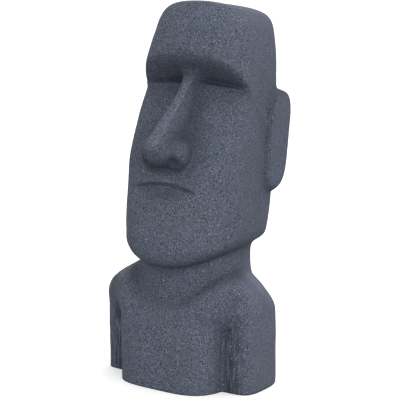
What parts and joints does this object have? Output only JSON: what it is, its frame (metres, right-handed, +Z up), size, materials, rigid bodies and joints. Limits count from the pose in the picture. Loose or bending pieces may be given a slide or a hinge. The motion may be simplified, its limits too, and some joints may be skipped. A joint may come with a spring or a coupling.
{
  "type": "moai statue",
  "caption": "Garden moai statue: a long head with heavy brow, long nose, closed mouth and pad ears, leaning back on a neck and a bust with short arms and a flat underside.",
  "frame": {"origin": "middle of the footprint's bounding box, on the ground plane that the flat underside rests on", "axes": "+Z up, the face looks along -Y, +X is to the right of a viewer who faces the statue's face; the statue is the same on both sides of X = 0"},
  "size_m": [0.3678, 0.3102, 0.7755],
  "materials": {
    "cast_stone": "matt dark grey cast stone effect, grainy"
  },
  "bodies": {
    "root": {"moai_statue": "cast_stone"}
  },
  "joints": []
}
